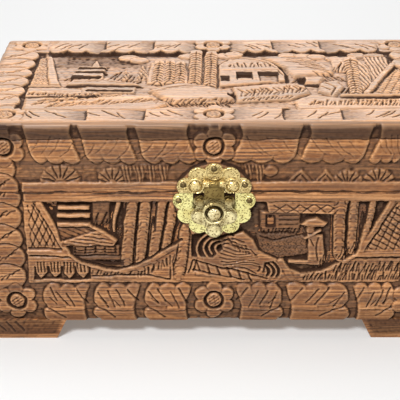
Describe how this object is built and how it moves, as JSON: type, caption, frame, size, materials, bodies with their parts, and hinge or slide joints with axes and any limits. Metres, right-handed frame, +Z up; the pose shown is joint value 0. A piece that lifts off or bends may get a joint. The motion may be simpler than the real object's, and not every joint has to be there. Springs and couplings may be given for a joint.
{
  "type": "jewelry box",
  "caption": "Footed wooden jewelry box with a hinged lid, sunk carved panels in petal borders, a round lobed brass hasp and a lift-out divided tray.",
  "frame": {"origin": "On the floor, under the middle of the box with its hasp and hinges.", "axes": "+Z up, +X to the right of someone facing the front, the front with the hasp faces -Y."},
  "size_m": [0.314, 0.176, 0.1655],
  "materials": {
    "carved_wood": "stained and waxed, darker in the cuts",
    "tray_wood": "plain planed wood",
    "hasp_brass": "cast and stippled, dark patina",
    "hinge_brass": "dull brass",
    "iron": "dark wire nails",
    "felt": "glued wool felt"
  },
  "bodies": {
    "case": {"base_board": "carved_wood", "base_nails": "iron", "case_back": "carved_wood", "case_front": "carved_wood", "case_left": "carved_wood", "case_right": "carved_wood", "floor_felt": "felt", "foot_back_left_face": "carved_wood", "foot_back_left_return": "carved_wood", "foot_back_right_face": "carved_wood", "foot_back_right_return": "carved_wood", "foot_front_left_face": "carved_wood", "foot_front_left_return": "carved_wood", "foot_front_right_face": "carved_wood", "foot_front_right_return": "carved_wood", "hasp_case_plate": "hasp_brass", "hasp_case_tacks": "hasp_brass", "hasp_post": "hasp_brass", "hinge_case_screws": "hinge_brass", "hinge_left_case_leaf": "hinge_brass", "hinge_left_pin": "hinge_brass", "hinge_right_case_leaf": "hinge_brass", "hinge_right_pin": "hinge_brass", "tray_runner_left": "tray_wood", "tray_runner_right": "tray_wood"},
    "lid": {"hasp_lid_plate": "hasp_brass", "hasp_lid_tacks": "hasp_brass", "hasp_pin": "hasp_brass", "hasp_studs": "hasp_brass", "hinge_left_lid_leaf": "hinge_brass", "hinge_lid_screws": "hinge_brass", "hinge_right_lid_leaf": "hinge_brass", "lid_back": "carved_wood", "lid_front": "carved_wood", "lid_left": "carved_wood", "lid_right": "carved_wood", "lid_top": "carved_wood"},
    "tongue": {"hasp_tongue": "hasp_brass"},
    "tray": {"tray_back": "tray_wood", "tray_bottom": "tray_wood", "tray_divider_left": "tray_wood", "tray_divider_right": "tray_wood", "tray_felt": "felt", "tray_front": "tray_wood", "tray_left": "tray_wood", "tray_right": "tray_wood"}
  },
  "joints": [
    {"name": "lid_hinge", "type": "hinge", "parent": "case", "child": "lid", "pos_m": [0, 0.0825, 0.1157], "axis": [-1, 0, 0], "range_deg": [0, 100]},
    {"name": "tongue_hinge", "type": "hinge", "parent": "lid", "child": "tongue", "pos_m": [0, -0.0831, 0.1235], "axis": [-1, 0, 0], "range_deg": [0, 175]},
    {"name": "tray_lift", "type": "slide", "parent": "case", "child": "tray", "axis": [0, 0, 1], "range_m": [0, 0.03]}
  ]
}
